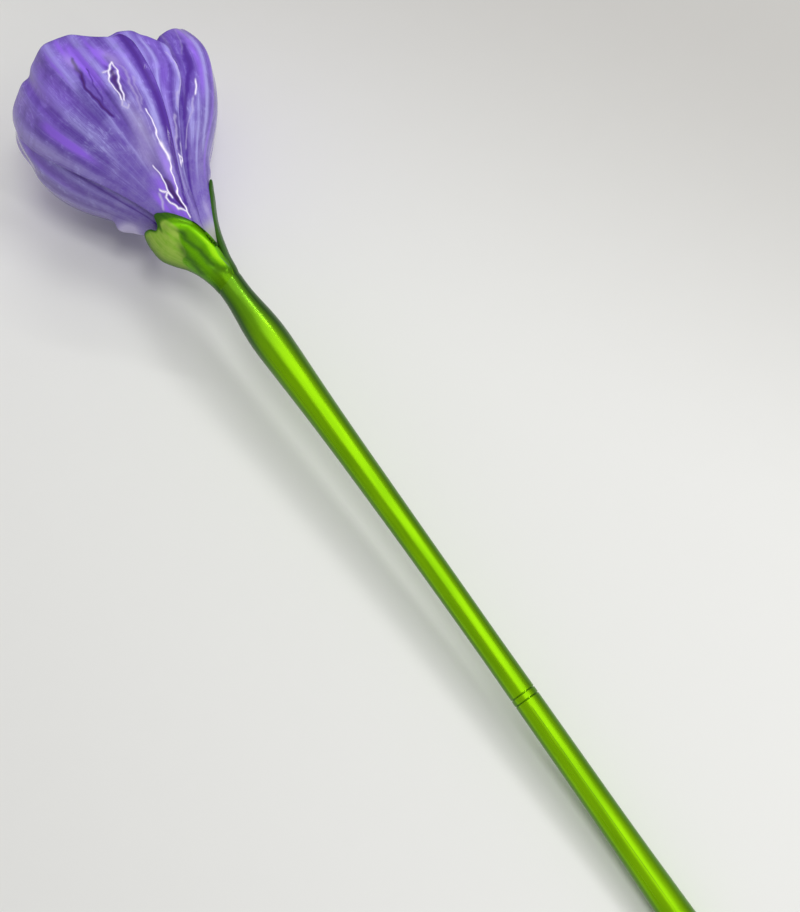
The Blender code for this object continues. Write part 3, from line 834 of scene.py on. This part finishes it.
def sepal_glass(look):
    """Green glass with dark thin rims, a frosted pale patch, a painted highlight along the raised ridge and
    painted shade in the valleys beside it and at the root, broken up by cloud and fine lengthwise lines. The
    clear parts mirror the room a little, the frosted ones don't."""
    g = Graph("sepal_glass")
    frost, dark, ridge = g.parts(g.attribute("tint"))
    across, along, _ = g.parts(g.attribute("leaf"))
    cloud = g.noise(g.place(), 420.0, 4.0, 0.6, 0.3)
    lines = g.noise(g.joined(across * 12, along * 2.2, 0.0), 1.0, 3.0, 0.55, 0.5)
    facing = g.node("ShaderNodeLayerWeight", {}, output="Facing", Blend=0.5)
    colour = g.mix(look.leaf, look.dark, ((lines - 0.42) * 1.6).clamped() * 0.45)
    # Painted highlight: brighter green along the raised ridge, brightest at its crest.
    colour = g.mix(colour, look.ridge, (ridge * (lines * 0.5 + 0.75)).clamped())
    colour = g.mix(colour, look.ridge_highlight, ((ridge - 0.75) * 2.0).clamped() * 0.7)
    colour = g.mix(colour, look.frost, (frost * (cloud * 1.3 + lines * 2.2 - 0.9)).clamped())
    # Dark thin rims, painted shade in the valleys, and darker glass at a slant.
    colour = g.mix(colour, look.dark, (dark * (lines * 0.4 + 0.8) + facing.step(0.4, 0.85) * 0.75).clamped())
    # Towards the root the stem's colour takes over, with its painted shade near the calyx.
    root = 1 - along.step(0.02, 0.34)
    colour = g.mix(colour, core_colour(g, look, facing, lines, 1.0), root)
    clear = (1 - frost) * 0.3 * (1 - dark) * (1 - root) * (1 - ridge * 0.6)
    return g.finish(
        Base_Color=colour,
        Metallic=(clear + root * look.sheen).clamped(),
        Roughness=(frost * 0.2 + cloud * 0.08 + 0.24).clamped(),
        IOR=1.45,
        Specular_IOR_Level=0.15,
        Normal=g.bump(lines * 0.6 + cloud * 0.4, 0.25, 0.2 * MM),
    )


def stem_glass(look):
    """Green glass over a bright core that mirrors the room: darker where it is seen at a slant and, as
    painted shade, near the calyx, with the faint lengthwise ripples of a drawn rod and a hair line beyond the
    fused joint."""
    g = Graph("stem_glass")
    side, station, up = g.parts(g.attribute("leaf"))
    ripple = g.noise(g.joined(side * 4.0, station * 0.02, up * 4.0), 1.0, 3.0, 0.55, 0.3)
    facing = g.node("ShaderNodeLayerWeight", {}, output="Facing", Blend=0.5)
    # Painted shade on the rod: 1 near the calyx, fading to 0 further down.
    neck = station.step(-58.0, -23.0)
    blob = g.noise(g.joined(side * 1.6, station * 0.042, up * 1.6), 1.0, 2.0, 0.5)
    tone = (ripple + (0.5 - blob) * 2.4 - (1 - station.step(-250.0, -90.0)) * 0.25).clamped()
    hair_side = side + 0.13 + (station + 200.0) * 0.0012
    hair = (1 - (hair_side * 28.0) ** 2.0).clamped() * up.step(0.3, 0.6)
    hair = hair * (1 - station.step(-178.0, -176.0)) * (station.step(-246.0, -236.0) * 0.7 + 0.3)
    colour = g.mix(core_colour(g, look, facing, tone, neck), look.dark, hair * 0.55)
    return g.finish(
        Base_Color=colour,
        Metallic=(1 - neck * 0.25) * look.sheen,
        Roughness=ripple * 0.08 + 0.24,
        Normal=g.bump(ripple, 0.1, 0.3 * MM),
    )


# --------------------------------------------------------------- operators


class CROCUS_OT_petals(Operator):
    """Make the six petals over the CAD petals"""

    bl_idname = "crocus.petals"
    bl_label = "Petals"

    def execute(self, context):
        look = context.scene.crocus_petals
        material = petal_glass(look)
        thickness = look.thickness / MM
        for name, shape in PETALS.items():
            petal = {**PLAIN_PETAL, **shape}

            def surface(along, across, petal=petal):
                return petal_point(petal, look.fold_height, along, across)

            def marks(along, across, rim, side, width, petal=petal):
                mouth = np.exp(-((rim / 1.1) ** 2))
                flank = np.exp(-((side / 0.7) ** 2))
                milk = np.clip(bells(petal["milk"], across, along), 0, 1)
                # The painted highlight lines ride on milk, as values above 1.
                milk = np.maximum(milk, drawn_lines(petal["glint_lines"], across, along, width))
                pale, deep, glow = (streaks(petal[key], across, along) for key in ("pale", "deep", "glow"))
                deep = deep + 0.5 * mouth + 0.5 * flank
                # The dark lines of painted shade.
                deep = np.maximum(deep, drawn_lines(petal["shade_lines"], across, along, width))
                return pale, deep, glow, milk

            points, faces, attributes = leaf_shell(
                surface, thickness, PETAL_LENGTH, petal["rows"], PETAL_COLUMNS, marks, PETAL_LIP
            )
            points = laid_down(points, HEAD_YAW)
            add_piece(name, points, faces, attributes, material, [name])
        return {"FINISHED"}


class CROCUS_OT_base(Operator):
    """Make the base that the petals grow from"""

    bl_idname = "crocus.base"
    bl_label = "Base"

    def execute(self, context):
        stations = np.linspace(BASE_PROFILE[0][0], BASE_PROFILE[-1][0] - 0.02, BASE_RINGS)
        radii = np.maximum(read_curve(BASE_PROFILE, stations), 0.05)
        points, faces, attributes = turned_surface(stations, radii, BASE_SIDES)
        points = laid_down(points, HEAD_YAW)
        material = base_glass(context.scene.crocus_petals)
        add_piece("flower_base", points, faces, attributes, material, ["flower_base"])
        return {"FINISHED"}


# Lines on the broad sepal, from its rim towards the neck, as places (across, along). The ridge's line also
# carries its painted highlight. Each valley has its half width in millimetres and its strength before its
# places;
# the valleys are painted as dark shade, and the first is also sunk into the surface.
BROAD_HALF_WIDTH = 11.0
BROAD_RIDGE = (
    (0.3, 0.79), (0.4, 0.765), (0.5, 0.735), (0.55, 0.61), (0.6, 0.49), (0.54, 0.35), (0.6, 0.25),
)
BROAD_VALLEYS = (
    (1.1, 0.8, ((0.3, 0.7), (0.24, 0.6), (0.24, 0.5), (0.22, 0.38), (0.24, 0.27))),
    (1.6, 0.75, ((0.02, 0.62), (-0.2, 0.48), (-0.36, 0.3))),
    (1.6, 0.85, ((0.2, 0.2), (0.42, 0.19), (0.6, 0.14))),
)
# The frosted patch ends at these places: (along, across).
FROST_EDGE = (
    (0.3, -1.0), (0.42, -0.6), (0.5, -0.42), (0.59, 0.02), (0.66, 0.18), (0.75, 0.32), (0.86, 0.29), (1, 0.2),
)


def near_line(places, across, along, width, reach):
    """A bell of the distance to a line on a sepal: 1 on the line, falling off over reach."""
    return np.exp(-((line_distance(places, across, along, width, SEPAL_LENGTH) / reach) ** 2))


def broad_ridge(across, along):
    """A raised ridge that follows the rim and runs down towards the neck, a valley on its left, and a slight
    sinking all over, away from the neck."""
    ridge = near_line(BROAD_RIDGE, across, along, BROAD_HALF_WIDTH, 1.9)
    valley = near_line(BROAD_VALLEYS[0][2], across, along, BROAD_HALF_WIDTH, 1.8)
    return 1.3 * ridge - 0.5 * valley - 0.4 * smooth_step(along / 0.2)


def no_ridge(across, along):
    """The even surface of the other two sepals."""
    return 0.0


def broad_marks(along, across, rim, side, width):
    """Frost on the left near the rim, a dark rim, the ridge's painted highlight, and painted shade in the
    valleys beside it and where it ends.
    """
    frost = smooth_step((read_curve(FROST_EDGE, along) - across) / 0.09 + 0.5)
    frost = frost * smooth_step((along - 0.38) / 0.1)
    border = np.exp(-((np.minimum(rim, side) / 0.8) ** 2))
    border = border + 0.9 * smooth_step((3.6 - rim) / 1.6) * smooth_step(across / 0.12 + 0.5)
    border = np.clip(border + 0.7 * np.exp(-((side / 1.7) ** 2)) * smooth_step(across / 0.3), 0, 1)
    ridge = near_line(BROAD_RIDGE, across, along, width, 1.35)
    ridge = np.clip(ridge * (1.6 - 0.75 * smooth_step((along - 0.45) / 0.3)), 0, 1.3)
    valley_shade = drawn_lines(BROAD_VALLEYS, across, along, width, SEPAL_LENGTH) * (1 - ridge)
    return frost * (1 - border), np.maximum(border * 0.95, valley_shade), ridge * (1 - border), 0.0


def plain_marks(along, across, rim, side, width):
    """Dark thin rims on an otherwise even sepal."""
    edge = np.exp(-((np.minimum(rim, side) / 0.8) ** 2))
    return 0.15 * (1 - edge), np.clip(0.7 + edge, 0, 1), 0.0, 0.0


class CROCUS_OT_sepals(Operator):
    """Make the three sepals of the calyx"""

    bl_idname = "crocus.sepals"
    bl_label = "Sepals"

    def execute(self, context):
        look = context.scene.crocus_green
        material = sepal_glass(look)
        for name, sepal in SEPALS.items():
            broad = name == "sepal_broad"
            ridge, marks = (broad_ridge, broad_marks) if broad else (no_ridge, plain_marks)

            def surface(along, across, sepal=sepal, ridge=ridge):
                return sepal_point(sepal, ridge, along, across)

            points, faces, attributes = leaf_shell(
                surface, look.sepal_thickness / MM, SEPAL_LENGTH, SEPAL_ROWS, SEPAL_COLUMNS, marks, SEPAL_LIP
            )
            add_piece(name, laid_down(points), faces, attributes, material, [name])
        return {"FINISHED"}


class CROCUS_OT_stem(Operator):
    """Make the glass rod, with its neck inside the calyx and the fused joint near its end"""

    bl_idname = "crocus.stem"
    bl_label = "Stem"

    def execute(self, context):
        start, end = STEM_PROFILE[0][0], STEM_PROFILE[-1][0]
        turns = 1 - np.cos(np.linspace(0, math.pi / 2, 10)[1:])
        tip = start + STEM_TIP_ROUNDING * turns
        top = end - STEM_TOP_ROUNDING * turns[::-1]
        body = np.linspace(tip[-1], top[0], STEM_RINGS)[1:-1]
        fine = [np.linspace(station - 0.6, station + 0.6, 17) for station in JOINT_RINGS]
        stations = np.unique(np.concatenate([tip, body, top, *fine]))
        radii = read_curve(STEM_PROFILE, stations)
        for depth, length in ((stations - start, STEM_TIP_ROUNDING), (end - stations, STEM_TOP_ROUNDING)):
            radii *= np.maximum(rounding(depth, length), 0.01)
        for station in JOINT_RINGS:
            radii -= JOINT_RING_DEPTH * np.exp(-(((stations - station) / JOINT_RING_WIDTH) ** 2))
        side = STEM_BOW * np.sin(math.pi * np.clip(-stations / STEM_BOW_LENGTH, 0, 1))
        points, faces, attributes = turned_surface(stations, radii, STEM_SIDES, side)
        material = stem_glass(context.scene.crocus_green)
        nodes = ["calyx_neck", "stem_upper", "stem_joint", "stem_lower"]
        add_piece("stem", laid_down(points), faces, attributes, material, nodes)
        return {"FINISHED"}


# ------------------------------------------------------------------- stage

CAMERA_FROM_ORIGIN = (-0.0790, -0.2220, 0.5091)  # metres
CAMERA_ELEVATION = 73.0  # how far above the horizon the camera stands
CAMERA_AZIMUTH = 35.2  # which way the camera looks, from +Y towards +X
FLOOR_HALF = 3.0
# Where the floor is darker: on the SHADE_DIRECTION side of the flower, from and to these distances, fading
# out again further off, and a little on the left and beyond the head.
SHADE_DIRECTION = (0.885, 0.465)
SHADE_RISE = (0.0, 0.17)
SHADE_FALL = (0.3, 1.2)
SHADE_DEPTH = 0.75
LEFT_SHADE_DEPTH = 0.16
FAR_SHADE_DEPTH = 0.2


def floor_material(look):
    """Matt pale floor with a very faint grain, a little darker at the far right, where less light falls."""
    g = Graph("floor")
    place = g.place()
    x, y, _ = g.parts(place)
    distance = (x - ORIGIN[0]) * SHADE_DIRECTION[0] + (y - ORIGIN[1]) * SHADE_DIRECTION[1]
    shade = distance.step(*SHADE_RISE) * (1 - distance.step(*SHADE_FALL)) * SHADE_DEPTH
    shade = shade + (-0.02 - x).step(0.0, 0.2) * LEFT_SHADE_DEPTH + y.step(0.2, 0.34) * FAR_SHADE_DEPTH
    grain = g.noise(place, 90.0, 3.0)
    colour = g.mix(look.floor, look.far_floor, (shade + (grain - 0.5) * 0.03).clamped())
    return g.finish(Base_Color=colour, Roughness=0.9, Specular_IOR_Level=0.1)


def area_light(name, energy, size, azimuth, elevation, distance, aim, mirrored=True):
    """A soft lamp at distance from aim, in the direction azimuth (from +Y towards +X) and elevation. Gloss
    doesn't show it unless it is mirrored."""
    lamp = bpy.data.lights.new(name, "AREA")
    lamp.shape = "RECTANGLE"
    lamp.size, lamp.size_y = size
    lamp.energy = energy
    holder = bpy.data.objects.new(name, lamp)
    a, e = math.radians(azimuth), math.radians(elevation)
    back = Vector((math.sin(a) * math.cos(e), math.cos(a) * math.cos(e), math.sin(e)))
    holder.location = Vector(aim) + back * distance
    holder.rotation_euler = back.to_track_quat("Z", "Y").to_euler()
    holder.visible_glossy = mirrored
    bpy.context.scene.collection.objects.link(holder)


LAMP_AIM = ORIGIN + (0, -0.05, 0)  # on the stem, a little below the calyx
WINDOW = dict(size=(0.4, 0.2), azimuth=130, elevation=41, distance=1.5, aim=LAMP_AIM, mirrored=False)
# The lamps besides the window: energy in watts, size and distance in metres.
LAMPS = {
    "overhead": dict(
        energy=5.0, size=(0.4, 0.2), azimuth=160, elevation=80, distance=1.5, aim=LAMP_AIM, mirrored=False
    ),
    "soft_ceiling": dict(
        energy=5.3, size=(1.37, 1.83), azimuth=70, elevation=76, distance=1.6, aim=LAMP_AIM
    ),
    "far_strip": dict(energy=0.55, size=(0.35, 0.025), azimuth=50, elevation=51, distance=0.9, aim=ORIGIN),
    "near_strip": dict(energy=0.8, size=(0.04, 0.35), azimuth=157, elevation=35, distance=0.9, aim=ORIGIN),
}


class CROCUS_OT_stage(Operator):
    """Make the floor, the lamps, the room light and the camera"""

    bl_idname = "crocus.stage"
    bl_label = "Stage"

    def execute(self, context):
        look = context.scene.crocus_stage
        mesh = bpy.data.meshes.new("floor")
        half = FLOOR_HALF
        corners = [(-half, -half, 0), (half, -half, 0), (half, half, 0), (-half, half, 0)]
        mesh.from_pydata(corners, [], [(0, 1, 2, 3)])
        mesh.materials.append(floor_material(look))
        floor = bpy.data.objects.new("floor", mesh)
        context.scene.collection.objects.link(floor)

        area_light("window", look.key, **WINDOW)
        for name, lamp in LAMPS.items():
            area_light(name, **lamp)

        world = bpy.data.worlds.new("room")
        world.use_nodes = True
        background = world.node_tree.nodes["Background"]
        background.inputs["Color"].default_value = (1, 1, 1, 1)
        background.inputs["Strength"].default_value = look.sky
        context.scene.world = world
        context.scene.view_settings.view_transform = "Standard"

        lens = bpy.data.cameras.new("camera")
        lens.lens = look.lens
        lens.sensor_width = 36.0
        lens.clip_start = 0.01
        camera = bpy.data.objects.new("camera", lens)
        camera.location = ORIGIN + np.array(CAMERA_FROM_ORIGIN)
        camera.rotation_euler = (math.radians(90 - CAMERA_ELEVATION), 0, math.radians(-CAMERA_AZIMUTH))
        context.scene.collection.objects.link(camera)
        context.scene.camera = camera
        return {"FINISHED"}


class CROCUS_PT_panel(Panel):
    """Sizes and colours of the glass crocus, and its pieces"""

    bl_label = "Glass crocus"
    bl_idname = "CROCUS_PT_panel"
    bl_space_type = "VIEW_3D"
    bl_region_type = "UI"
    bl_category = "Glass crocus"

    def draw(self, context):
        for group in (context.scene.crocus_petals, context.scene.crocus_green, context.scene.crocus_stage):
            box = self.layout.box()
            for key in group.__annotations__:
                box.prop(group, key)
        for operator in OPERATORS:
            self.layout.operator(operator.bl_idname)


OPERATORS = (CROCUS_OT_petals, CROCUS_OT_base, CROCUS_OT_sepals, CROCUS_OT_stem, CROCUS_OT_stage)
SETTINGS = (CrocusPetalSettings, CrocusGreenSettings, CrocusStageSettings)


def register():
    for cls in (*SETTINGS, *OPERATORS, CROCUS_PT_panel):
        bpy.utils.register_class(cls)
    bpy.types.Scene.crocus_petals = PointerProperty(type=CrocusPetalSettings)
    bpy.types.Scene.crocus_green = PointerProperty(type=CrocusGreenSettings)
    bpy.types.Scene.crocus_stage = PointerProperty(type=CrocusStageSettings)


def unregister():
    del bpy.types.Scene.crocus_petals
    del bpy.types.Scene.crocus_green
    del bpy.types.Scene.crocus_stage
    for cls in reversed((*SETTINGS, *OPERATORS, CROCUS_PT_panel)):
        bpy.utils.unregister_class(cls)


def main():
    register()
    bpy.ops.crocus.petals()
    bpy.ops.crocus.base()
    bpy.ops.crocus.sepals()
    bpy.ops.crocus.stem()
    bpy.ops.crocus.stage()


if __name__ == "__main__":
    main()
